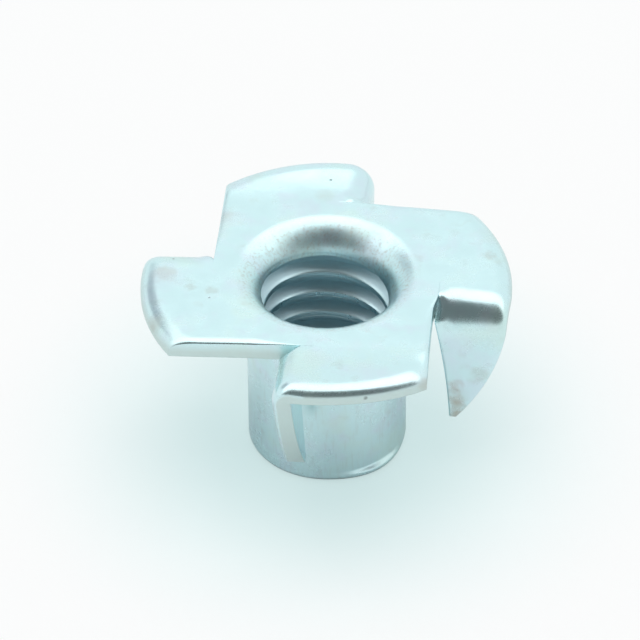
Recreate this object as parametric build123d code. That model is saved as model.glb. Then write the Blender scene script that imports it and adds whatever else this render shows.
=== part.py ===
"""Four-prong tee nut, stamped, drawn and folded from one piece of zinc-plated sheet steel.

All sizes are in millimetres. The nut stands on the open end of its barrel with the flange on
top. The origin is the centre of that end, and +Z runs up the axis towards the flange.

The flange is a disc with four notches. Each notch has a straight cut edge on one side and a
folded prong on the other, so the four lobes between them form a pinwheel. The barrel is drawn
down from the middle of the disc, and its bore is at the minor diameter of a 5/16-18 UNC thread.
"""

from build123d import *
from math import asin, cos, degrees, radians, sin, sqrt
import os

# Whole part
overall_height = 11.1
lobe_count = 4

# Sheet and flange, whose top edge is rolled over by the blanking
sheet_thickness = 1.05
flange_radius = 10.05
rim_roll_width = 1.15
rim_roll_depth = 0.5
roll_tightness = 0.6

# Barrel
bore_radius = 3.35
barrel_wall = 1.0
mouth_radius = 1.7
neck_radius = 0.65
barrel_end_round = 0.35
bore_end_chamfer = 0.25

# Notches: the cut edge lies this far from the axis, turned a little from square to the lobe
cut_edge_distance = 6.17
cut_edge_turn = -5.2

# Prongs: the outer face lies this far from the axis, and the rest is measured along that face
prong_face_distance = 1.6
prong_turn = -7.0
fold_radius = 1.6
prong_root_start = 6.1
prong_tip_start = 6.95
prong_tip_width = 0.45
prong_depth = 7.6
prong_inner_edge_radius = 35.0
prong_outer_edge_radius = 13.0
prong_edge_narrowing = 0.12
prong_roll_width = 0.6
prong_roll_depth = 0.35
tip_roll_width = 0.26
tip_roll_depth = 0.2
tab_steps = 4

# Directions of one notch and its prong; the others are turned copies
up = Vector(0, 0, 1)
top = overall_height
underside = overall_height - sheet_thickness
barrel_radius = bore_radius + barrel_wall
fold_start = prong_face_distance - fold_radius
rim_edge = sqrt(flange_radius**2 - fold_start**2)


def heading(angle):
    """Returns the level direction at an angle in degrees from +X."""
    return Vector(cos(radians(angle)), sin(radians(angle)), 0)


prong_along = heading(prong_turn)
prong_out = heading(prong_turn - 90)


def rolled_corner(edge, surface, width, depth):
    """Draws the rolled-over corner of a sheet's edge: a wide arc that runs into a tight one."""
    tight = roll_tightness * depth
    wide = ((width - tight) ** 2 + depth**2 - tight**2) / (2 * (depth - tight))
    wide_centre = Vector(edge - width, surface - wide)
    tight_centre = Vector(edge - tight, surface - depth)
    turn = degrees(asin((width - tight) / (wide - tight)))
    CenterArc(wide_centre, wide, 90, -turn)
    CenterArc(tight_centre, tight, 90 - turn, turn - 90)


def drawn_body():
    """Makes the flange disc, its rolled rim, the funnel mouth and the barrel as one turned form."""
    neck = (barrel_radius + neck_radius, underside - neck_radius)
    foot = (barrel_radius - barrel_end_round, barrel_end_round)
    mouth = (bore_radius + mouth_radius, top - mouth_radius)
    with BuildPart() as body:
        with BuildSketch(Plane.XZ):
            with BuildLine():
                Line((mouth[0], top), (flange_radius - rim_roll_width, top))
                rolled_corner(flange_radius, top, rim_roll_width, rim_roll_depth)
                Line((flange_radius, top - rim_roll_depth), (flange_radius, underside))
                Line((flange_radius, underside), (neck[0], underside))
                CenterArc(neck, neck_radius, 90, 90)
                Line((barrel_radius, neck[1]), (barrel_radius, foot[1]))
                CenterArc(foot, barrel_end_round, 0, -90)
                Line((foot[0], 0), (bore_radius + bore_end_chamfer, 0))
                Line((bore_radius + bore_end_chamfer, 0), (bore_radius, bore_end_chamfer))
                Line((bore_radius, bore_end_chamfer), (bore_radius, mouth[1]))
                CenterArc(mouth, mouth_radius, 180, -90)
            make_face()
        revolve(axis=Axis.Z)
    return body.part


def notch():
    """Makes the space cut from the disc: the cut edge on one side, the fold's start on the other."""
    reach = 2 * flange_radius
    cut_normal = heading(cut_edge_turn)
    cut_along = heading(cut_edge_turn - 90)
    # The corner is where the cut edge crosses the line where the fold starts
    short = fold_start - cut_edge_distance * cut_normal.dot(prong_out)
    corner = cut_normal * cut_edge_distance + cut_along * (short / cut_along.dot(prong_out))
    with BuildPart() as space:
        with BuildSketch(Plane.XY.offset(underside - sheet_thickness)):
            with BuildLine():
                Polyline(
                    corner,
                    corner + cut_along * reach,
                    corner + cut_along * reach + prong_along * reach,
                    corner + prong_along * reach,
                    close=True,
                )
            make_face()
        extrude(amount=3 * sheet_thickness)
    return space.part


def edge_at(depth, start, end, radius):
    """Returns how far out an edge lies at a depth, where it bulges outwards by this radius."""
    chord = Vector(*end) - Vector(*start)
    inwards = Vector(-chord.Y, chord.X) / chord.length
    rise = sqrt(radius**2 - chord.length**2 / 4)
    centre = (Vector(*start) + Vector(*end)) / 2 + inwards * rise
    return centre.X + sqrt(radius**2 - (depth - centre.Y) ** 2)


def strip_section(plane, inner_edge, outer_edge, roll_width, roll_depth):
    """Draws the sheet's section across a prong: its upper side is the prong's outer face."""
    with BuildSketch(plane) as section:
        with BuildLine():
            Line((inner_edge, 0), (outer_edge - roll_width, 0))
            rolled_corner(outer_edge, 0, roll_width, roll_depth)
            Polyline(
                (outer_edge, -roll_depth),
                (outer_edge, -sheet_thickness),
                (inner_edge, -sheet_thickness),
                (inner_edge, 0),
            )
        make_face()
    return section.sketch


def tab_section(depth):
    """Draws the section of a prong's flat part at a depth below the flange's top."""
    share = (depth - fold_radius) / (prong_depth - fold_radius)
    tip_end = prong_tip_start + prong_tip_width
    inner_edge = edge_at(
        depth,
        (prong_root_start, fold_radius),
        (prong_tip_start, prong_depth),
        prong_inner_edge_radius,
    )
    outer_edge = edge_at(
        depth,
        (rim_edge - prong_edge_narrowing, fold_radius),
        (tip_end, prong_depth),
        prong_outer_edge_radius,
    )
    origin = prong_out * prong_face_distance + up * (top - depth)
    return strip_section(
        Plane(origin=origin, x_dir=prong_along, z_dir=-up),
        inner_edge,
        outer_edge,
        prong_roll_width + share * (tip_roll_width - prong_roll_width),
        prong_roll_depth + share * (tip_roll_depth - prong_roll_depth),
    )


def fold():
    """Makes the quarter turn between the flange and a prong, while its rolled edge gets smaller."""
    begin = prong_out * fold_start + up * top
    centre = begin - up * fold_radius
    middle = centre + (prong_out + up).normalized() * fold_radius
    end = centre + prong_out * fold_radius
    first = strip_section(
        Plane(origin=begin, x_dir=prong_along, z_dir=prong_out),
        prong_root_start,
        rim_edge,
        rim_roll_width,
        rim_roll_depth,
    )
    path = ThreePointArc(begin, middle, end)
    return sweep(sections=[first, tab_section(fold_radius)], path=path, multisection=True)


def tab():
    """Makes the flat part of a prong below its fold: a curved blade with a blunt tip."""
    reach = prong_depth - fold_radius
    depths = [fold_radius + reach * step / tab_steps for step in range(tab_steps + 1)]
    return loft(sections=[tab_section(depth) for depth in depths])


def tee_nut():
    """Joins the drawn body and its folded prongs into one solid."""
    one_notch = notch()
    one_prong = fold() + tab()
    turns = [Rot(0, 0, number * 360 / lobe_count) for number in range(lobe_count)]
    nut = drawn_body() - [turn * one_notch for turn in turns]
    return nut + [turn * one_prong for turn in turns]


os.makedirs("parts", exist_ok=True)
nut = tee_nut()
nut.label = "tee_nut"
export_step(nut, "parts/tee_nut.step")
print("solids", len(nut.solids()), "volume", round(nut.volume, 2), "size", nut.bounding_box().size)
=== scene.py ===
"""Four-prong tee nut of zinc-plated sheet steel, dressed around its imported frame.

Every length is in metres, in the frame's own axes: +Z runs up the nut's axis, the barrel's open
end stands on the floor at the origin, and the camera looks towards +Y.
"""

from math import acos, asin, atan2, ceil, cos, degrees, floor, hypot, pi, radians, sin, sqrt, tan

import bmesh
import bpy
from mathutils import Matrix, Vector


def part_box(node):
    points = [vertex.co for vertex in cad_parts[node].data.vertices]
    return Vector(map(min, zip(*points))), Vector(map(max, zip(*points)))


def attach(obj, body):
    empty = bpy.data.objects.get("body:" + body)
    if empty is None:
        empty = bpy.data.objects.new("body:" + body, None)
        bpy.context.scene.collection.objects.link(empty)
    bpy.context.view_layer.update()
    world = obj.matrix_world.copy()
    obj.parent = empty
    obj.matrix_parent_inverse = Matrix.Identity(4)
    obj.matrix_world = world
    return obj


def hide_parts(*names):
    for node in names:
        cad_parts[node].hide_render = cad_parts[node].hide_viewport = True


bl_info = {
    "name": "Tee nut",
    "version": (1, 0, 0),
    "blender": (4, 5, 0),
    "location": "3D View > Sidebar > Tee nut",
    "description": "Builds a four-prong tee nut of zinc-plated sheet steel, with its studio",
    "category": "Object",
}

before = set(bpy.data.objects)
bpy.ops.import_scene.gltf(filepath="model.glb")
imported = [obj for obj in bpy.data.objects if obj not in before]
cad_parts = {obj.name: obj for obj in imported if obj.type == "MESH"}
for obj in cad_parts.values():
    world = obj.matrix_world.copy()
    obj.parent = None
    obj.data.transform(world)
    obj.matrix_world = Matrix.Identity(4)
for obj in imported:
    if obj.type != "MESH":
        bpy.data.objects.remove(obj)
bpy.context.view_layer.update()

MM = 0.001
NODE = "tee_nut"
BODY = "root"
SLOT = "zinc_plated_steel"
OVERALL_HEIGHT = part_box(NODE)[1][2]
LOBES = 4
QUARTER = radians(360 / LOBES)
WHITE = (1, 1, 1)
# Points nearer than this count as touching, and nearer than the second they are merged
TOUCHING = 0.002 * MM
MERGED = TOUCHING / 4
# Creases sharper than this stay sharp
SHARP = radians(40)
# How the bulge at a fold's inner edge falls off, where 1 would be a straight slope
BULGE_POWER = 1.3
# The flare at the barrel's end reaches up to this many times the end's rounding
FLARE_REACH = 2.2
# Painted shade down the bore begins and is full at these radii, and this far below the flange's
# top
BORE_SHADE_RADII = (4.1 * MM, 3.9 * MM)
BORE_SHADE_DEPTHS = (1.1 * MM, 2.2 * MM)
# Half the floor's side, in metres
FLOOR_REACH = 1.5

# What the metal reflects: a direction, and the cosines to it where a card begins and is full
CARDS = {
    "shade": ((-0.55, 0.61, 0.57), 0.945, 0.985),
    "overhead": ((0, -0.2, 0.98), 0.555, 0.6),
    "side": ((0, -0.86, 0.5), 0.5, 0.62),
    "raised": ((0, 0, 1), 0.22, 0.36),
}

# Marks seen on this nut: x, y and z in millimetres, radius in millimetres and strength
STAINS = (
    (7.1, -3.05, 3.5, 0.6, 0.75),
    (7.1, -3.05, 4.2, 0.7, 0.6),
    (7.05, -3.05, 5.0, 0.8, 0.6),
    (7.0, -3.05, 5.8, 0.6, 0.45),
    (8.2, -3.2, 6.6, 0.8, 0.3),
    (-8.8, 0.2, 11.1, 0.9, 0.35),
    (-7.3, -0.9, 11.1, 0.45, 0.3),
    (-6.2, -1.2, 11.1, 0.5, 0.3),
    (8.9, 1.6, 11.1, 0.5, 0.35),
    (0.6, -7.6, 11.1, 0.5, 0.2),
    (-9.3, -3.6, 11.0, 0.9, 0.4),
    (5.2, -8.6, 10.6, 0.7, 0.3),
    (-2.7, -9.2, 6.0, 1.2, 0.3),
    (-5.6, 5.2, 11.1, 0.7, 0.25),
    (0.0, 6.9, 10.9, 0.8, 0.2),
)
SPECKS = (
    (-8.3, 1.6, 11.1, 0.12, 0.8),
    (0.3, 8.2, 11.15, 0.12, 0.7),
    (-6.3, -1.8, 11.1, 0.1, 0.5),
    (2.0, -9.8, 10.8, 0.16, 0.6),
    (4.9, 7.0, 11.1, 0.08, 0.5),
)


def length(name, default, description):
    """Makes a length property, given in millimetres and kept in metres."""
    return bpy.props.FloatProperty(
        name=name, description=description, default=default * MM, unit="LENGTH", precision=5
    )


def angle(name, default, description):
    """Makes an angle property, given in degrees."""
    return bpy.props.FloatProperty(
        name=name, description=description, default=radians(default), subtype="ANGLE"
    )


def angles(name, default, description):
    """Makes one angle for each prong, given in degrees: east, north, west and south."""
    turns = [radians(turn) for turn in default]
    return bpy.props.FloatVectorProperty(
        name=name, description=description, default=turns, size=4, unit="ROTATION"
    )


def lengths(name, default, description):
    """Makes one length for each lobe, given in millimetres: east, north, west and south."""
    values = [value * MM for value in default]
    return bpy.props.FloatVectorProperty(
        name=name, description=description, default=values, size=4, unit="LENGTH", precision=5
    )


def share(name, default, description):
    """Makes a number between nought and one."""
    return bpy.props.FloatProperty(
        name=name, description=description, default=default, min=0, max=1, subtype="FACTOR"
    )


def colour(name, default, description):
    """Makes a colour property from three linear values."""
    return bpy.props.FloatVectorProperty(
        name=name, description=description, default=default, size=3, subtype="COLOR"
    )


class NutSizes(bpy.types.PropertyGroup):
    """The stamped, drawn and folded form, with the frame's own sizes."""

    sheet: length("Sheet", 1.05, "Thickness of the flange's sheet")
    flange_radius: length("Flange radius", 10.05, "Radius of the disc before it is notched")
    rim_roll_width: length("Rim roll width", 1.12, "How far in the rolled-over rim reaches")
    rim_roll_depth: length("Rim roll depth", 0.74, "How far the rim's top edge is rolled down")
    barrel_radius: length("Barrel radius", 4.35, "Outer radius of the drawn barrel")
    bore_radius: length("Bore radius", 3.35, "Radius at the crests of the thread")
    mouth_width: length("Mouth width", 1.7, "Width of the bend from the flange into the bore")
    mouth_depth: length("Mouth depth", 2.2, "Depth of the bend from the flange into the bore")
    mouth_shift: length("Mouth shift", 0.22, "How far the mouth was drawn towards the back")
    end_lip: length("End lip", 0.2, "How far the barrel's end is flared on one side")
    lip_turn: angle("Lip turn", -50, "Where the barrel's end is flared")
    lip_spread: angle("Lip spread", 42, "How far the flare reaches to each side")
    neck_radius: length("Neck radius", 0.65, "Radius of the bend under the flange")
    end_round: length("End round", 0.35, "Rounding of the barrel's outer end")
    end_chamfer: length("End chamfer", 0.25, "Chamfer at the bore's lower end")
    edge_round: length("Edge round", 0.07, "Rounding of the sheet's lower edges")
    cut_roll_width: length("Cut roll width", 0.42, "Width of the rolled edge along a cut")
    cut_roll_depth: length("Cut roll depth", 0.15, "Depth of the rolled edge along a cut")
    bulge_width: length("Bulge width", 0.62, "Width of the bulge at a fold's inner edge")
    bulge_depth: length("Bulge depth", 0.32, "Depth of the bulge at a fold's inner edge")
    cut_distance: length("Cut edge distance", 6.17, "How far the cut edges lie from the axis")
    cut_turn: angle("Cut edge turn", -5.2, "How far a cut edge is turned from square")
    prong_turn: angle("Prong turn", -7.0, "How far a prong's face is turned from square")
    prong_face: length("Prong face", 1.6, "How far a prong's outer face lies from the axis")
    fold_radius: length("Fold radius", 1.6, "Outer radius of the fold above a prong")
    root_start: length("Root start", 6.1, "Where a prong's inner edge begins")
    tip_start: length("Tip start", 6.95, "Where a prong's inner edge ends")
    tip_width: length("Tip width", 0.45, "Width of a prong's blunt tip")
    prong_depth: length("Prong depth", 7.6, "How far a prong's tip is below the flange's top")
    inner_bulge: length("Inner bulge", 35.0, "Radius of a prong's inner edge")
    outer_bulge: length("Outer bulge", 13.0, "Radius of a prong's outer edge")
    narrowing: length("Narrowing", 0.12, "How much narrower a prong is below its fold")
    prong_roll_width: length("Prong roll width", 0.6, "Width of the rolled edge at the fold")
    prong_roll_depth: length("Prong roll depth", 0.35, "Depth of the rolled edge at the fold")
    tip_roll_width: length("Tip roll width", 0.26, "Width of the rolled edge at the tip")
    tip_roll_depth: length("Tip roll depth", 0.2, "Depth of the rolled edge at the tip")
    face: lengths("Face", (2.18, 1.6, 1.6, 1.8), "How far out each prong's own face lies")
    bend: lengths("Bend", (1.8, 1.6, 1.6, 1.15), "Outer radius of the fold above each prong")
    tight: length("Tight", 0.7, "How much tighter a fold is at its inner edge")
    tight_reach: length("Tight reach", 0.9, "How far along the fold it is tighter")
    lean: angles("Lean", (0, 0, -6, 3), "How far past square each prong is folded")
    sway: angles("Sway", (0, 0, 0, -6), "How far each prong is turned in its own plane")
    dent_place: bpy.props.FloatVectorProperty(
        name="Dent place",
        description="Where a lobe's corner is dented",
        default=(5.5 * MM, -7.7 * MM, 0),
        unit="LENGTH",
        precision=5,
    )
    dent_reach: length("Dent reach", 1.3, "Radius of the dent")
    dent_depth: length("Dent depth", 0.16, "Depth of the dent")
    lift: lengths("Lift", (0, 0.3, 0, 0.42), "How far the end of each lobe is bent up")
    trim: length("Trim", 0.22, "How much nearer one cut edge lies on this nut")
    trim_start: length("Trim start", 1.8, "How far from the notch's corner that begins")
    trim_full: length("Trim full", 3.2, "How far from the notch's corner it is full")


class ThreadSizes(bpy.types.PropertyGroup):
    """The internal 5/16-18 UNC thread."""

    pitch: length("Pitch", 1.411, "Rise of the thread in one turn")
    major_radius: length("Major radius", 3.97, "Radius at the roots of the thread")
    root_flat: length("Root flat", 0.4, "Width of the flat at a root")
    flank: angle("Flank angle", 30, "Angle of a flank from square to the axis")
    start: angle("Start", 112, "Turn of the thread about the axis")
    fade: length("Fade", 0.8, "Height over which the groove runs out at the barrel's end")
    full_turns: bpy.props.FloatProperty(
        name="Full turns", description="Turns of the groove at its full depth", default=6.5
    )
    run_out: share("Run-out", 0.25, "Part of a turn over which the groove ends in the mouth")
    crest_round: length("Crest round", 0.06, "Rounding where the groove meets a crest")
    seam_depth: length("Seam depth", 0.04, "Depth of the seam along a formed crest")
    seam_width: length("Seam width", 0.1, "Width of the seam along a formed crest")
    # Painted shade in the thread's groove begins and is full at these depths
    shade_start: length("Worn start", 0.02, "Depth in the groove where its own colour begins")
    shade_full: length("Worn full", 0.2, "Depth in the groove where its own colour is full")


class ZincFinish(bpy.types.PropertyGroup):
    """Clear zinc plating on cold-formed steel."""

    zinc: colour("Zinc", (0.64, 0.86, 0.89), "Colour of the plating")
    lilac: colour("Lilac", (0.66, 0.81, 0.88), "Tint of the plating in patches")
    straw: colour("Straw", (0.65, 0.84, 0.80), "Tint of the plating in other patches")
    bare: colour("Bare", (0.58, 0.70, 0.68), "Colour of the sheared edges")
    stain: colour("Stain", (0.40, 0.33, 0.25), "Colour of the brown handling stains")
    # The groove's colour is painted shade, down in the thread's groove and on the crests down the
    # bore
    groove: colour("Groove", (0.58, 0.76, 0.82), "Colour down in the thread's groove")
    # This dark colour serves the real specks and also the painted contact shade at the barrel's
    # end
    speck_and_contact_shade: colour("Speck", (0.12, 0.13, 0.13), "Colour of the dark specks")
    gloss_low: share("Roughness, low", 0.17, "Roughness where the plating is brightest")
    gloss_high: share("Roughness, high", 0.32, "Roughness where the plating is dullest")
    edge_gloss: share("Roughness, edges", 0.42, "Roughness of the sheared edges")
    cloud: length("Cloud", 2.8, "Size of the cloudy patches")
    grain: length("Grain", 0.16, "Size of the fine grain")
    draw: length("Draw", 0.16, "Width of the drawn streaks down the mouth and the barrel")
    lilac_share: share("Lilac share", 0.8, "How strong the lilac patches are")
    straw_share: share("Straw share", 0.6, "How strong the straw patches are")
    smudge_share: share("Smudge share", 0.18, "How strong the faint brown smudges are")
    draw_share: share("Draw share", 0.12, "How brown the drawn streaks are")
    grime_share: share("Grime share", 0.35, "How brown the grain in the mouth is")
    # How strong the painted shade is in the groove and on the crests down the bore
    groove_shade_share: share("Groove share", 0.85, "How strong the groove's own colour is")
    bore_shade_share: share("Bore share", 0.7, "How strong that colour is on the crests")
    # Painted contact shade where the barrel's end stands on the floor
    contact_shade_share: share("Foot share", 0.7, "How dark the barrel's end is where it stands")
    stain_share: share("Stain share", 0.75, "How strong the handling stains are")


class StudioLook(bpy.types.PropertyGroup):
    """The pale floor, the light from all round, the lamp and the camera."""

    floor: colour("Floor", (0.985, 0.99, 0.99), "Colour of the floor")
    # The floor's glow is tinted near the nut: a painted cyan shade round its base
    floor_shade_tint: colour("Floor tint", (0.72, 0.93, 0.93), "Tint of the floor's lifted shadow")
    shade_tint_reach: length("Tint reach", 20, "How far from the axis the floor's tint fades out")
    floor_lift: share("Floor lift", 0.62, "How far the floor's shadows are lifted to white")
    fill: share("Fill", 0.6, "Strength of the light from all round")
    lamp: bpy.props.FloatProperty(
        name="Lamp", description="Power of the lamp", default=1.55, unit="POWER"
    )
    lamp_size: length("Lamp size", 500, "Side of the square lamp")
    lamp_height: length("Lamp height", 600, "Height of the lamp above the floor")
    backdrop: colour("Backdrop", (0.97, 1.0, 1.0), "What the metal reflects from all round")
    overhead: colour("Overhead", (1.55, 1.55, 1.55), "What the metal reflects from above")
    room: colour("Room", (0.17, 0.18, 0.18), "What the metal reflects from the camera's side")
    shade: colour("Shade", (0.5, 0.52, 0.55), "What the metal reflects low on the far left")
    lens: bpy.props.FloatProperty(name="Lens", description="Focal length", default=277.6)
    distance: length("Distance", 273.6, "Camera distance from the origin")
    elevation: angle("Elevation", 40.0, "Camera height as an angle")
    roll: angle("Roll", 0.47, "Camera roll")
    aim_right: length("Aim right", -0.406, "Camera offset to its right")
    aim_up: length("Aim up", 6.074, "Camera offset along its own up direction")


def level(turn):
    """Returns the level direction at an angle in radians from +X."""
    return Vector((cos(turn), sin(turn), 0))


def arc(centre, width, height, start, end, steps):
    """Returns the points of an oval arc in a half-section, without its first point."""
    points = []
    for step in range(1, steps + 1):
        turn = radians(start + (end - start) * step / steps)
        points.append((centre[0] + width * cos(turn), centre[1] + height * sin(turn)))
    return points


def soft(value, low, high):
    """Returns a value's soft step from 0 at one end to 1 at the other."""
    part = min(max((value - low) / (high - low), 0), 1)
    return part * part * (3 - 2 * part)


def run(start, end, steps):
    """Returns the points of a straight run in a half-section, without its first point."""
    shares = [step / steps for step in range(1, steps + 1)]
    return [tuple(a + (b - a) * part for a, b in zip(start, end)) for part in shares]


class Shape:
    """The nut's sizes, and the heights and edges that follow from them."""

    def __init__(self, sizes, thread):
        self.sizes = sizes
        self.thread = thread
        self.top = OVERALL_HEIGHT
        self.underside = self.top - sizes.sheet
        self.fold_start = sizes.prong_face - sizes.fold_radius
        self.corner = sizes.cut_distance / cos(sizes.cut_turn - sizes.prong_turn)
        self.rim = sqrt(sizes.flange_radius**2 - self.fold_start**2)
        reach = acos(sizes.cut_distance / sizes.flange_radius)
        self.lobe_turn = sizes.cut_turn + QUARTER - reach - sizes.prong_turn
        # The funnel is wider than the thread's roots from here up
        past_roots = sizes.bore_radius + sizes.mouth_width - thread.major_radius - 10 * TOUCHING
        rise = sizes.mouth_depth * sqrt(1 - (past_roots / sizes.mouth_width) ** 2)
        self.thread_top = self.top - sizes.mouth_depth + rise

    def half_section(self):
        """Returns the outline that is spun: up the funnel, out and back down to the bore's end."""
        s = self.sizes
        rim, top, under = s.flange_radius, self.top, self.underside
        edge = s.edge_round
        neck = (s.barrel_radius + s.neck_radius, under - s.neck_radius)
        foot = (s.barrel_radius - s.end_round, s.end_round)
        mouth = (s.bore_radius + s.mouth_width, top - s.mouth_depth)
        roll = (rim - s.rim_roll_width, top - s.rim_roll_depth)
        open_turn = 180 - degrees(asin((self.thread_top - mouth[1]) / s.mouth_depth))
        points = arc(mouth, s.mouth_width, s.mouth_depth, open_turn, 90, steps=18)
        points += run(points[-1], (self.corner, top), steps=5)
        points += run(points[-1], (self.corner + edge, top), steps=3)
        points += run(points[-1], (self.corner + s.bulge_width, top), steps=5)
        points += run(points[-1], (roll[0], top), steps=8)
        points += arc(roll, s.rim_roll_width, s.rim_roll_depth, 90, 0, steps=16)
        points += run(points[-1], (rim, under + edge), steps=3)
        points += arc((rim - edge, under + edge), edge, edge, 0, -90, steps=3)
        points += run(points[-1], (self.corner, under), steps=7)
        points += run(points[-1], (neck[0], under), steps=4)
        points += arc(neck, s.neck_radius, s.neck_radius, 90, 180, steps=9)
        points += run(points[-1], (s.barrel_radius, FLARE_REACH * s.end_round), steps=16)
        points += run(points[-1], (s.barrel_radius, s.end_round), steps=7)
        points += arc(foot, s.end_round, s.end_round, 0, -90, steps=7)
        points += run(points[-1], (s.bore_radius + s.end_chamfer, 0), steps=2)
        return points

    def roll_drop(self, radius):
        """Returns how far the rolled rim lies below the flange's top at a radius."""
        s = self.sizes
        part = 1 - (s.flange_radius - radius) / s.rim_roll_width
        part = min(max(part, 0), 1)
        return s.rim_roll_depth * (1 - sqrt(1 - part**2))

    def bore_profile(self, height):
        """Returns the radius of the chamfer, the bore or the funnel at a height."""
        s = self.sizes
        past = min((height - (self.top - s.mouth_depth)) / s.mouth_depth, 1)
        if past > 0:
            return s.bore_radius + s.mouth_width * (1 - sqrt(1 - past**2))
        return s.bore_radius + max(0, s.end_chamfer - height)

    def squeeze(self, radius, height, past):
        """Moves a point of the disc in to the cut edge, at a turn past the lobe's rim."""
        s = self.sizes
        edge_turn = s.prong_turn + self.lobe_turn + past - s.cut_turn - QUARTER
        cut = max(s.cut_distance / cos(edge_turn), self.corner)
        width = cut - self.corner
        rim_part = min(1, (s.flange_radius - cut) / (2 * s.cut_roll_width))
        small = min(1, width / (2 * s.cut_roll_width))
        roll_width = s.cut_roll_width * small
        roll_depth = s.cut_roll_depth * small * rim_part
        wall_low = self.underside + s.edge_round
        wall_high = self.top - s.rim_roll_depth
        if height >= self.top - self.roll_drop(radius) - TOUCHING:
            part = (radius - self.corner) / (s.flange_radius - self.corner)
            new_radius = self.corner + width * part
            drop = self.roll_drop(new_radius)
            inset = (cut - new_radius) * cos(edge_turn)
            if inset < roll_width:
                drop += roll_depth * (1 - sqrt(1 - (1 - max(inset, 0) / roll_width) ** 2))
            return new_radius, self.top - drop
        if height >= wall_low - TOUCHING:
            part = (height - wall_low) / (wall_high - wall_low)
            low = self.underside + s.edge_round * small
            high = self.top - self.roll_drop(cut) - roll_depth
            return cut, low + (high - low) * part
        inset = s.flange_radius - radius
        if inset <= s.edge_round + TOUCHING and height > self.underside + TOUCHING:
            return cut - inset * small, self.underside + (height - self.underside) * small
        reach = s.flange_radius - s.edge_round - self.corner
        part = (radius - self.corner) / reach
        return self.corner + (width - s.edge_round * small) * part, self.underside

    def thread_radius(self, height, turn):
        """Returns the radius inside the bore: its groove, or its profile with the crest's seam."""
        t = self.thread
        place = height / t.pitch - (turn - t.start) / (2 * pi)
        away = abs(place % 1 - 0.5) * t.pitch
        followed = floor(place) + turn / (2 * pi)
        fade = min(max(height / t.fade, 0), 1)
        fade *= 1 - soft(followed, t.full_turns, t.full_turns + t.run_out)
        profile = self.bore_profile(height)
        groove = t.major_radius - max(0, away - t.root_flat / 2) / tan(t.flank)
        groove -= (1 - fade) * (t.major_radius - self.sizes.bore_radius)
        from_seam = (t.pitch / 2 - away) / (t.seam_width / 2)
        if profile < t.major_radius:
            profile += t.seam_depth * fade * max(0, 1 - from_seam)
        near = max(t.crest_round - abs(profile - groove), 0) / t.crest_round
        return max(profile, groove) + near**2 * t.crest_round / 4

    def edge_at(self, depth, start, end, radius):
        """Returns how far out an edge lies at a depth, where it bulges outwards."""
        chord = Vector(end) - Vector(start)
        inwards = Vector((-chord.y, chord.x)) / chord.length
        rise = sqrt(radius**2 - chord.length**2 / 4)
        centre = (Vector(start) + Vector(end)) / 2 + inwards * rise
        return centre.x + sqrt(radius**2 - (depth - centre.y) ** 2)

    def bare(self, below, roll_low, roll_high):
        """Returns how bare the sheet's edge is at a height, which is negative below its top."""
        sheet = self.sizes.sheet
        past_underside = soft(below, -sheet, 0.1 * self.sizes.edge_round - sheet)
        return past_underside * (1 - soft(below, -roll_low, -roll_high))

    def strip(self, depth):
        """Returns a prong's inner edge, outer edge, roll width and roll depth at a depth."""
        s = self.sizes
        part = (depth - s.fold_radius) / (s.prong_depth - s.fold_radius)
        tip_start = (s.tip_start, s.prong_depth)
        tip_end = (s.tip_start + s.tip_width, s.prong_depth)
        inner = self.edge_at(depth, (s.root_start, s.fold_radius), tip_start, s.inner_bulge)
        root_end = (self.rim - s.narrowing, s.fold_radius)
        outer = self.edge_at(depth, root_end, tip_end, s.outer_bulge)
        width = s.prong_roll_width + part * (s.tip_roll_width - s.prong_roll_width)
        drop = s.prong_roll_depth + part * (s.tip_roll_depth - s.prong_roll_depth)
        return inner, outer, width, drop

    def strip_point(self, across, below, strip, round_over, shrink):
        """Fits a point of the rim's section into a prong's section."""
        s = self.sizes
        inner, outer, roll_width, roll_depth = strip
        rim_roll = s.flange_radius - s.rim_roll_width
        if below >= -self.roll_drop(across) - TOUCHING:
            if across <= rim_roll:
                part = (across - self.corner) / (rim_roll - self.corner)
                x, y = inner + (outer - roll_width - inner) * part, 0
            else:
                x = outer - roll_width + roll_width * (across - rim_roll) / s.rim_roll_width
                y = below * roll_depth / s.rim_roll_depth
            width, drop = round_over
            inset = max(x - inner, 0)
            if inset < width:
                y -= drop * (1 - inset / width) ** BULGE_POWER
        elif across >= s.flange_radius - TOUCHING:
            span = s.sheet - s.edge_round - s.rim_roll_depth
            part = (below + s.rim_roll_depth) / -span
            x, y = outer, -roll_depth - (s.sheet - s.edge_round - roll_depth) * part
        elif below > -s.sheet + TOUCHING and across > self.corner + TOUCHING:
            x, y = outer - (s.flange_radius - across), below
        elif across > self.corner + TOUCHING:
            reach = s.flange_radius - s.edge_round - self.corner
            part = (across - self.corner) / reach
            x, y = inner + (outer - s.edge_round - inner) * part, -s.sheet
        else:
            x, y = inner, below
        x = min(max(x, inner + shrink), outer - shrink)
        y = min(max(y, -s.sheet + shrink), -shrink)
        return x, y


def everything(mesh):
    """Lists a bmesh's points, edges and faces."""
    return mesh.verts[:] + mesh.edges[:] + mesh.faces[:]


def spin(mesh, parts, turn, steps, **settings):
    """Spins parts of a bmesh about the nut's axis, and returns the last ones made."""
    made = bmesh.ops.spin(
        mesh, geom=parts, cent=(0, 0, 0), axis=(0, 0, 1), angle=turn, steps=steps, **settings
    )
    return made["geom_last"]


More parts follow.
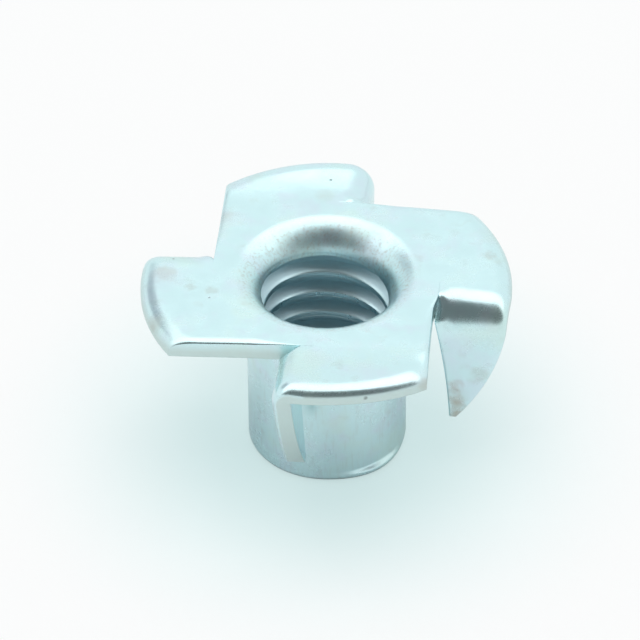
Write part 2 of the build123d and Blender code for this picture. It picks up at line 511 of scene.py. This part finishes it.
def spin_disc(mesh, shape):
    """Spins the half-section into one quarter, with its notch, and turns copies of it."""
    cut_layer = mesh.verts.layers.float.new("cut_edge")
    outline = [mesh.verts.new((radius, 0, height)) for radius, height in shape.half_section()]
    edges = [mesh.edges.new(pair) for pair in zip(outline, outline[1:])]
    turn = Matrix.Rotation(shape.sizes.prong_turn, 3, "Z")
    bmesh.ops.rotate(mesh, verts=outline, matrix=turn)
    last = outline + edges
    for span, steps in ((shape.lobe_turn, 32), (QUARTER - shape.lobe_turn, 40)):
        last = spin(mesh, last, span, steps)
    squeeze_notch(mesh, shape)
    s = shape.sizes
    for vert in mesh.verts:
        if hypot(vert.co.x, vert.co.y) > shape.corner - TOUCHING:
            below = vert.co.z - shape.top
            vert[cut_layer] = shape.bare(below, s.rim_roll_depth, s.cut_roll_depth)
    spin(mesh, everything(mesh), 2 * pi - QUARTER, LOBES - 1, use_duplicate=True)
    bmesh.ops.remove_doubles(mesh, verts=mesh.verts[:], dist=MERGED)


def squeeze_notch(mesh, shape):
    """Moves the first quarter's points beyond the lobe's rim in to the cut edge."""
    slack = radians(0.1)
    for vert in mesh.verts:
        turn = atan2(vert.co.y, vert.co.x) - shape.sizes.prong_turn
        past = (turn + slack) % (2 * pi) - slack - shape.lobe_turn
        radius = hypot(vert.co.x, vert.co.y)
        if past > slack and radius > shape.corner + TOUCHING:
            new_radius, height = shape.squeeze(radius, vert.co.z, past)
            vert.co.xy *= new_radius / radius
            vert.co.z = height


def cut_thread(mesh, shape):
    """Screws one pitch of the thread up the bore, trims it, and joins it at both ends."""
    t = shape.thread
    rows, columns = 28, 240
    low = 0.1 * shape.sizes.end_chamfer
    turns = ceil((shape.thread_top - low) / t.pitch) + 2
    thread = bmesh.new()
    heights = [low + t.pitch * (row / rows - 1) for row in range(rows + 1)]
    line = [thread.verts.new((shape.sizes.bore_radius, 0, height)) for height in heights]
    edges = [thread.edges.new(pair) for pair in zip(line, line[1:])]
    spin(thread, line + edges, 2 * pi, columns, dvec=(0, 0, t.pitch / columns))
    one_turn = everything(thread)
    spin(thread, one_turn, 0, turns - 1, dvec=(0, 0, t.pitch), use_duplicate=True)
    bmesh.ops.remove_doubles(thread, verts=thread.verts[:], dist=TOUCHING)
    for height, side in ((low, -1), (shape.thread_top, 1)):
        bmesh.ops.bisect_plane(
            thread,
            geom=everything(thread),
            dist=MERGED,
            plane_co=(0, 0, height),
            plane_no=(0, 0, side),
            clear_outer=True,
        )
    for vert in thread.verts:
        turn = atan2(vert.co.y, vert.co.x)
        vert.co.xy = level(turn).xy * shape.thread_radius(vert.co.z, turn)
    piece = bpy.data.meshes.new("thread")
    thread.to_mesh(piece)
    thread.free()
    mesh.from_mesh(piece)
    bpy.data.meshes.remove(piece)
    reach = shape.sizes.bore_radius + shape.sizes.mouth_width
    for middle in (0, shape.top):
        ends = [
            edge
            for edge in mesh.edges
            if edge.is_boundary
            and all(vert.co.xy.length < reach for vert in edge.verts)
            and all(abs(vert.co.z - middle) < shape.sizes.sheet for vert in edge.verts)
        ]
        bmesh.ops.bridge_loops(mesh, edges=ends)


def trim_lobe(mesh, shape):
    """Brings one lobe's cut edge a little nearer to the axis."""
    s = shape.sizes
    begins, full, ends = (part * s.cut_distance for part in (0.75, 0.93, 1.04))
    for vert in mesh.verts:
        x, y = vert.co.xy
        beside = soft(x, begins, full) * (1 - soft(x, s.cut_distance, ends))
        vert.co.x -= s.trim * beside * soft(-y, s.trim_start, s.trim_full)


def prong_stations(shape):
    """Lists a prong's sections: share of the fold, fall below it, strip, edge round and shrink."""
    s = shape.sizes
    first = (shape.corner, shape.rim, s.rim_roll_width, s.rim_roll_depth)
    root = shape.strip(s.fold_radius)
    stations = []
    fold_steps, tab_steps, tip_steps = 20, 30, 4
    for step in range(1, fold_steps + 1):
        part = step / fold_steps
        strip = [a + (b - a) * part for a, b in zip(first, root)]
        stations.append((part, 0, strip, s.edge_round * min(1, 3 * part), 0))
    reach = s.prong_depth - s.edge_round - s.fold_radius
    for step in range(1, tab_steps + 1):
        depth = s.fold_radius + reach * step / tab_steps
        stations.append((1, depth - s.fold_radius, shape.strip(depth), s.edge_round, 0))
    for step in range(1, tip_steps + 1):
        turn = radians(90) * step / tip_steps
        depth = s.prong_depth - s.edge_round * (1 - sin(turn))
        shrink = s.edge_round * (1 - cos(turn))
        stations.append((1, depth - s.fold_radius, shape.strip(depth), s.edge_round, shrink))
    return stations


def fold_prongs(mesh, shape):
    """Extrudes the sheet's open sections round each fold and down to the prong's tip."""
    s = shape.sizes
    across_layer = mesh.verts.layers.float.new("across")
    below_layer = mesh.verts.layers.float.new("below")
    turn_layer = mesh.verts.layers.float.new("turn")
    cut_layer = mesh.verts.layers.float["cut_edge"]
    # Each prong grows from a loop of open edges: the sheet's section where its fold starts
    loop = [edge for edge in mesh.edges if edge.is_boundary]
    for vert in {vert for edge in loop for vert in edge.verts}:
        vert[across_layer] = hypot(vert.co.x, vert.co.y)
        vert[below_layer] = vert.co.z - shape.top
        quarter = round((atan2(vert.co.y, vert.co.x) - s.prong_turn) / QUARTER)
        vert[turn_layer] = s.prong_turn + quarter * QUARTER
    for part, fall, strip, small, shrink in prong_stations(shape):
        grown = bmesh.ops.extrude_edge_only(mesh, edges=loop)["geom"]
        loop = [item for item in grown if isinstance(item, bmesh.types.BMEdge)]
        for vert in [item for item in grown if isinstance(item, bmesh.types.BMVert)]:
            prong = round((vert[turn_layer] - s.prong_turn) / QUARTER) % LOBES
            # The fold is tighter at the prong's inner edge, but no tighter than the sheet allows
            inset = vert[across_layer] - shape.corner
            radius = s.bend[prong] - s.tight * (1 - soft(inset, 0, s.tight_reach))
            radius = max(radius, min(s.bend[prong], s.sheet + s.edge_round))
            whole = radians(90) + s.lean[prong]
            flat = s.face[prong] - shape.fold_start - radius
            gone = part * (flat + whole * radius)
            bend = max(gone - flat, 0) / radius
            along = level(vert[turn_layer])
            out = level(vert[turn_layer] - radians(90))
            start = out * (shape.fold_start + min(gone, flat))
            centre = start + Vector((0, 0, shape.top - radius))
            side = out * sin(bend) + Vector((0, 0, cos(bend)))
            down = out * cos(bend) - Vector((0, 0, sin(bend)))
            swell = sin(pi * bend / whole)
            round_over = [small + size * swell for size in (s.bulge_width, s.bulge_depth)]
            x, y = shape.strip_point(
                vert[across_layer], vert[below_layer], strip, round_over, shrink
            )
            vert[cut_layer] = max(shape.bare(y, strip[3], 0.6 * strip[3]), shrink > 0)
            x += tan(s.sway[prong]) * fall
            own_fall = fall * (s.prong_depth - radius) / (s.prong_depth - s.fold_radius)
            vert.co = centre + side * (radius + y) + along * x + down * own_fall
    bmesh.ops.remove_doubles(mesh, verts=mesh.verts[:], dist=MERGED)
    loop = [edge for edge in mesh.edges if edge.is_boundary]
    bmesh.ops.edgeloop_fill(mesh, edges=loop)
    for name in ("across", "below", "turn"):
        mesh.verts.layers.float.remove(mesh.verts.layers.float[name])


def bend_lobes(mesh, shape):
    """Bends the lobes' ends up a little, and dents one corner."""
    s = shape.sizes
    dent = Vector(s.dent_place)
    for vert in mesh.verts:
        lobe = round(atan2(vert.co.y, vert.co.x) / QUARTER) % LOBES
        past_corner = vert.co.xy.dot(level(lobe * QUARTER).xy) - shape.corner
        if s.lift[lobe] and past_corner > 0:
            vert.co.z += s.lift[lobe] * (past_corner / (s.flange_radius - shape.corner)) ** 2
        near_dent = 1 - soft((vert.co.xy - dent.xy).length, 0, s.dent_reach)
        vert.co.z -= s.dent_depth * near_dent


def flare_end(mesh, shape):
    """Flares the barrel's end a little on one side."""
    s = shape.sizes
    for vert in mesh.verts:
        radius = hypot(vert.co.x, vert.co.y)
        on_barrel = s.barrel_radius - s.end_round < radius < s.barrel_radius + TOUCHING
        if on_barrel and vert.co.z < FLARE_REACH * s.end_round:
            turn = atan2(vert.co.y, vert.co.x)
            aside = 1 - soft(abs(turn - s.lip_turn), 0, s.lip_spread)
            lip = s.end_lip * aside * (1 - soft(vert.co.z, s.end_round, 2 * s.end_round))
            vert.co.xy *= (radius + lip) / radius


def shift_mouth(mesh, shape):
    """Shifts the mouth towards the back, and the flange round it less and less."""
    s = shape.sizes
    for vert in mesh.verts:
        radius = hypot(vert.co.x, vert.co.y)
        rise = soft(vert.co.z, shape.top - s.mouth_depth, shape.top - 0.5 * s.sheet)
        inner = soft(radius, s.bore_radius, s.bore_radius + s.mouth_width)
        outer = 1 - soft(radius, shape.corner, s.flange_radius)
        vert.co.y += s.mouth_shift * rise * inner * outer


def mark_groove(mesh, shape):
    """Stores how deep in the thread's groove each point lies, for the finish."""
    layer = mesh.verts.layers.float.new("groove")
    for vert in mesh.verts:
        radius = hypot(vert.co.x, vert.co.y)
        if radius < shape.thread.major_radius + TOUCHING and vert.co.z < shape.thread_top:
            deep = radius - shape.bore_profile(vert.co.z)
            vert[layer] = soft(deep, shape.thread.shade_start, shape.thread.shade_full)


def finish_piece(mesh, name):
    """Turns a bmesh into a finished piece that rides on the frame."""
    bmesh.ops.recalc_face_normals(mesh, faces=mesh.faces[:])
    data = bpy.data.meshes.new(name)
    mesh.to_mesh(data)
    mesh.free()
    piece = bpy.data.objects.new(name, data)
    bpy.context.scene.collection.objects.link(piece)
    data.shade_smooth()
    data.set_sharp_from_angle(angle=SHARP)
    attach(piece, BODY)
    return piece


class Value:
    """A shader socket that Python's own operators work on, each adding a Math node."""

    def __init__(self, tree, socket):
        self.tree = tree
        self.socket = socket

    def math(self, operation, *values):
        """Adds a Math node with this value first."""
        return self.tree.add("ShaderNodeMath", {"operation": operation}, self, *values)

    def __add__(self, other):
        return self.math("ADD", other)

    def __sub__(self, other):
        return self.math("SUBTRACT", other)

    def __rsub__(self, other):
        return self.tree.add("ShaderNodeMath", {"operation": "SUBTRACT"}, other, self)

    def __mul__(self, other):
        return self.math("MULTIPLY", other)

    __radd__ = __add__
    __rmul__ = __mul__


class Tree:
    """A material's nodes, added one at a time."""

    def __init__(self, tree):
        self.nodes = tree.nodes
        self.links = tree.links

    def add(self, kind, settings=None, *values, output=0, **named):
        """Adds a node: its settings first, then the values or links of its sockets."""
        node = self.nodes.new(kind)
        for key, value in (settings or {}).items():
            setattr(node, key, value)
        sockets = [socket for socket in node.inputs if socket.enabled]
        pairs = list(zip(sockets, values))
        pairs += [(node.inputs[key.replace("_", " ")], value) for key, value in named.items()]
        for socket, value in pairs:
            if isinstance(value, Value):
                self.links.new(value.socket, socket)
            elif socket.type == "RGBA":
                socket.default_value = (*value, 1)
            else:
                socket.default_value = value
        made = [socket for socket in node.outputs if socket.enabled]
        return Value(self, made[output]) if made else node

    def vector(self, operation, *values, **named):
        """Adds a Vector Math node."""
        return self.add("ShaderNodeVectorMath", {"operation": operation}, *values, **named)

    def blend(self, part, first, second):
        """Mixes two colours or colour sockets by a mask."""
        return self.add("ShaderNodeMix", {"data_type": "RGBA"}, part, first, second)

    def attribute(self, name):
        """Returns one of the mesh's own attributes."""
        return self.add("ShaderNodeAttribute", {"attribute_name": name}, output=2)

    def noise(self, place, size, detail, shift=(0, 0, 0)):
        """Returns a noise whose features are about this size, shifted in millimetres."""
        if any(shift):
            place = self.vector("ADD", place, [part * MM for part in shift])
        return self.add("ShaderNodeTexNoise", None, Vector=place, Scale=1 / size, Detail=detail)

    def wobble(self, place, size, reach):
        """Returns a place that is moved about by a noise, so that marks have ragged edges."""
        noise = self.add("ShaderNodeTexNoise", None, Vector=place, Scale=1 / size, output=1)
        middle = self.vector("SUBTRACT", noise, (0.5, 0.5, 0.5))
        return self.vector("ADD", place, self.vector("SCALE", middle, Scale=reach))

    def soft_step(self, value, low, high):
        """Returns a value's soft step from 0 at one end to 1 at the other."""
        settings = {"interpolation_type": "SMOOTHSTEP"}
        return self.add("ShaderNodeMapRange", settings, value, low, high)

    def spots(self, place, marks):
        """Returns a mask of soft round marks at their places."""
        total = 0
        for x, y, z, radius, strength in marks:
            away = self.vector("DISTANCE", place, (x * MM, y * MM, z * MM))
            total = total + self.soft_step(away, radius * MM, 0.3 * radius * MM) * strength
        return total

    def card(self, place, name):
        """Returns the mask of a reflected card, by the directions near its own."""
        towards, begins, full = CARDS[name]
        unit = self.vector("NORMALIZE", place)
        close = self.vector("DOT_PRODUCT", unit, Vector(towards).normalized())
        return self.soft_step(close, begins, full)


def new_material(name):
    """Makes an empty material and returns it with its nodes."""
    material = bpy.data.materials.new(name)
    material.use_nodes = True
    material.node_tree.nodes.clear()
    return material, Tree(material.node_tree)


class Plating:
    """The zinc's noises and masks, and the colour, roughness and relief made from them."""

    def __init__(self, tree, finish, shape):
        self.tree = tree
        self.finish = finish
        sizes, top = shape.sizes, shape.top
        place = tree.add("ShaderNodeTexCoord", output=3)
        flat = tree.vector("MULTIPLY", place, (1, 1, 0))
        radius = tree.vector("LENGTH", flat)
        height = tree.add("ShaderNodeSeparateXYZ", None, place, output=2)
        self.cut = tree.attribute("cut_edge")
        self.groove = tree.attribute("groove")

        self.cloud = tree.noise(place, finish.cloud, 4)
        self.patch = tree.noise(place, 0.55 * finish.cloud, 3, (5, 1, 2))
        self.smudge = tree.noise(place, 0.35 * finish.cloud, 5, (1, 7, 3))
        self.grain = tree.noise(place, finish.grain, 4)
        # Streaks run down the mouth and the barrel, because height is shortened in their noise
        around = tree.vector("SCALE", tree.vector("NORMALIZE", flat), Scale=sizes.bore_radius)
        along = tree.vector("MULTIPLY", place, (0, 0, 0.12))
        self.streak = tree.noise(tree.vector("ADD", around, along), finish.draw, 3)

        drawn_reach = sizes.bore_radius + sizes.mouth_width
        self.drawn = tree.soft_step(radius, drawn_reach, 0.86 * drawn_reach)
        self.mouth = tree.soft_step(height, top - sizes.mouth_depth, top - 1.2 * sizes.sheet)
        # Painted contact shade: the barrel's end darkens towards the floor
        self.foot = tree.soft_step(height, sizes.end_round, 0.05 * sizes.end_round)
        # Painted shade on the crests, darker further down the bore
        below_top = tree.soft_step(height, *(top - depth for depth in BORE_SHADE_DEPTHS))
        self.bore = tree.soft_step(radius, *BORE_SHADE_RADII) * below_top
        stains = tree.spots(tree.wobble(place, 0.5 * MM, 0.6 * MM), STAINS)
        self.stains = (stains * tree.soft_step(self.smudge, 0.2, 0.55)).math("MINIMUM", 1.0)
        self.specks = tree.spots(tree.wobble(place, 0.15 * MM, 0.1 * MM), SPECKS)

    def tone(self):
        """Returns the colour: tinted clouds, draw marks, bare edges, painted shade in the groove,
        down the bore and at the barrel's foot, and marks.
        """
        tree, finish = self.tree, self.finish
        lilac = tree.soft_step(self.patch, 0.45, 0.72) * finish.lilac_share
        straw = tree.soft_step(self.cloud, 0.5, 0.72) * finish.straw_share
        smudged = tree.soft_step(self.smudge, 0.55, 0.85) * finish.smudge_share
        drawn = self.drawn * tree.soft_step(self.streak, 0.5, 0.8) * finish.draw_share
        grime = self.drawn * self.mouth * tree.soft_step(self.grain, 0.45, 0.75)
        bare = self.cut * (0.75 + 0.25 * self.streak)
        # Painted shade deep in the thread's groove and down the bore
        groove_shade = (self.groove * finish.groove_shade_share).math("MAXIMUM", self.bore * finish.bore_shade_share)
        layers = (
            (straw, finish.straw),
            (smudged, finish.stain),
            (drawn + grime * finish.grime_share, finish.stain),
            (bare, finish.bare),
            (groove_shade, finish.groove),
            (self.foot * finish.contact_shade_share, finish.speck_and_contact_shade),
            (self.stains * finish.stain_share, finish.stain),
            (self.specks, finish.speck_and_contact_shade),
        )
        tone = tree.blend(lilac, finish.zinc, finish.lilac)
        for part, colour_over in layers:
            tone = tree.blend(part, tone, colour_over)
        return tone

    def roughness(self):
        """Returns the roughness: dull clouds, sheared edges, the groove and the draw marks."""
        tree, finish = self.tree, self.finish
        dull = tree.soft_step(self.cloud, 0.3, 0.7) * 0.6
        dull = dull + tree.soft_step(self.smudge, 0.35, 0.7) * 0.4
        rough = finish.gloss_low + (finish.gloss_high - finish.gloss_low) * dull
        rough = rough + (finish.edge_gloss - rough) * self.cut.math("MAXIMUM", self.groove)
        rough = rough + self.drawn * (0.04 + self.streak * (0.05 + 0.15 * self.mouth))
        return rough + self.stains * 0.1 + (self.grain - 0.5) * 0.1

    def relief(self):
        """Returns the height of the finish in metres."""
        heights = (
            (self.grain, 0.0016),
            (self.smudge, 0.004),
            (self.cloud, 0.02),
            (self.drawn * (0.3 + self.mouth) * self.streak, 0.005),
            (self.cut * self.streak, 0.006),
            (self.specks, -0.02),
        )
        return sum(part * (height * MM) for part, height in heights)


def zinc_material(finish, shape):
    """Makes the bright, clouded zinc plating with its streaks, stains and specks."""
    material, tree = new_material(SLOT)
    plating = Plating(tree, finish, shape)
    bump = tree.add("ShaderNodeBump", None, Strength=1.0, Distance=1.0, Height=plating.relief())
    shader = tree.add(
        "ShaderNodeBsdfPrincipled",
        None,
        Base_Color=plating.tone(),
        Metallic=1.0,
        Roughness=plating.roughness(),
        Normal=bump,
    )
    tree.add("ShaderNodeOutputMaterial", None, shader)
    return material


class TEENUT_OT_nut(bpy.types.Operator):
    """Build the stamped, drawn, folded and threaded nut"""

    bl_idname = "tee_nut.nut"
    bl_label = "Nut"

    def execute(self, context):
        scene = context.scene
        shape = Shape(scene.nut_sizes, scene.thread_sizes)
        mesh = bmesh.new()
        spin_disc(mesh, shape)
        cut_thread(mesh, shape)
        trim_lobe(mesh, shape)
        fold_prongs(mesh, shape)
        mark_groove(mesh, shape)
        bend_lobes(mesh, shape)
        flare_end(mesh, shape)
        shift_mouth(mesh, shape)
        piece = finish_piece(mesh, "tee_nut_plated")
        piece.data.materials.append(zinc_material(scene.zinc_finish, shape))
        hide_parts(NODE)
        return {"FINISHED"}


class TEENUT_OT_studio(bpy.types.Operator):
    """Set the pale floor, the lights, the reflected cards and the camera"""

    bl_idname = "tee_nut.studio"
    bl_label = "Studio"

    def execute(self, context):
        scene = context.scene
        look = scene.studio_look
        self.lay_floor(scene, look)
        self.light_air(scene, look)
        self.hang_lamp(scene, look)
        self.aim_camera(scene, look)
        scene.view_settings.view_transform = "Standard"
        return {"FINISHED"}

    def lay_floor(self, scene, look):
        """Lays the floor, whose shadow is lifted a little for the camera, with a painted cyan
        shade near the nut.
        """
        mesh = bmesh.new()
        bmesh.ops.create_grid(mesh, x_segments=1, y_segments=1, size=FLOOR_REACH)
        data = bpy.data.meshes.new("floor")
        mesh.to_mesh(data)
        mesh.free()
        floor_piece = bpy.data.objects.new("floor", data)
        scene.collection.objects.link(floor_piece)
        material, tree = new_material("floor_paper")
        camera = tree.add("ShaderNodeLightPath")
        place = tree.add("ShaderNodeTexCoord", output=3)
        away = tree.vector("LENGTH", place)
        # Near the nut the lifting glow is tinted cyan, a painted shade round its base
        near = tree.soft_step(away, look.shade_tint_reach, 0.25 * look.shade_tint_reach)
        paper = tree.add("ShaderNodeBsdfDiffuse", None, look.floor)
        tone = tree.blend(near, WHITE, look.floor_shade_tint)
        glow = tree.add("ShaderNodeEmission", None, tone, 1.0)
        shader = tree.add("ShaderNodeMixShader", None, camera * look.floor_lift, paper, glow)
        tree.add("ShaderNodeOutputMaterial", None, shader)
        data.materials.append(material)

    def light_air(self, scene, look):
        """Sets the light from all round, and what the metal reflects instead of it."""
        air = bpy.data.worlds.new("studio_air")
        air.use_nodes = True
        air.node_tree.nodes.clear()
        tree = Tree(air.node_tree)
        place = tree.add("ShaderNodeTexCoord")
        tone = tree.blend(tree.card(place, "shade"), look.backdrop, look.shade)
        tone = tree.blend(tree.card(place, "overhead"), tone, look.overhead)
        low_side = tree.card(place, "side") * tree.card(place, "raised")
        tone = tree.blend(low_side, tone, look.room)
        fill = tree.add("ShaderNodeBackground", None, look.backdrop, look.fill)
        cards = tree.add("ShaderNodeBackground", None, tone, 1.0)
        white = tree.add("ShaderNodeBackground", None, WHITE, 1.0)
        glossy = tree.add("ShaderNodeLightPath", output=3)
        camera = tree.add("ShaderNodeLightPath")
        shader = tree.add("ShaderNodeMixShader", None, glossy, fill, cards)
        shader = tree.add("ShaderNodeMixShader", None, camera, shader, white)
        tree.add("ShaderNodeOutputWorld", None, shader)
        scene.world = air

    def hang_lamp(self, scene, look):
        """Hangs the large square lamp, which the metal doesn't reflect."""
        lamp = bpy.data.lights.new("softbox", "AREA")
        lamp.size = look.lamp_size
        lamp.energy = look.lamp
        softbox = bpy.data.objects.new("softbox", lamp)
        softbox.location = (0, 0, look.lamp_height)
        softbox.visible_glossy = False
        scene.collection.objects.link(softbox)

    def aim_camera(self, scene, look):
        """Sets the camera at the photograph's viewing angle."""
        back = Vector((0, -cos(look.elevation), sin(look.elevation)))
        right = Vector((1, 0, 0))
        up = back.cross(right)
        turned_right = right * cos(look.roll) - up * sin(look.roll)
        turned_up = right * sin(look.roll) + up * cos(look.roll)
        lens = bpy.data.cameras.new("camera")
        lens.lens = look.lens
        camera = bpy.data.objects.new("camera", lens)
        place = turned_right * look.aim_right + turned_up * look.aim_up + back * look.distance
        turn = Matrix((turned_right, turned_up, back)).transposed().to_4x4()
        camera.matrix_world = Matrix.Translation(place) @ turn
        scene.collection.objects.link(camera)
        scene.camera = camera


class TEENUT_PT_panel(bpy.types.Panel):
    """The nut's sizes and finish, and the studio"""

    bl_label = "Tee nut"
    bl_idname = "TEENUT_PT_panel"
    bl_space_type = "VIEW_3D"
    bl_region_type = "UI"
    bl_category = "Tee nut"

    def draw(self, context):
        for group in (name for name, _ in GROUPS):
            box = self.layout.box()
            settings = getattr(context.scene, group)
            for name in settings.__annotations__:
                box.prop(settings, name)
        for operator in OPERATORS:
            self.layout.operator(operator.bl_idname)


GROUPS = (
    ("nut_sizes", NutSizes),
    ("thread_sizes", ThreadSizes),
    ("zinc_finish", ZincFinish),
    ("studio_look", StudioLook),
)
OPERATORS = (TEENUT_OT_nut, TEENUT_OT_studio)


def register():
    for name, group in GROUPS:
        bpy.utils.register_class(group)
        setattr(bpy.types.Scene, name, bpy.props.PointerProperty(type=group))
    for operator in OPERATORS:
        bpy.utils.register_class(operator)
    bpy.utils.register_class(TEENUT_PT_panel)


def unregister():
    bpy.utils.unregister_class(TEENUT_PT_panel)
    for operator in reversed(OPERATORS):
        bpy.utils.unregister_class(operator)
    for name, group in reversed(GROUPS):
        delattr(bpy.types.Scene, name)
        bpy.utils.unregister_class(group)


def main():
    """Builds the nut and its studio."""
    register()
    bpy.ops.tee_nut.nut()
    bpy.ops.tee_nut.studio()


if __name__ == "__main__":
    main()
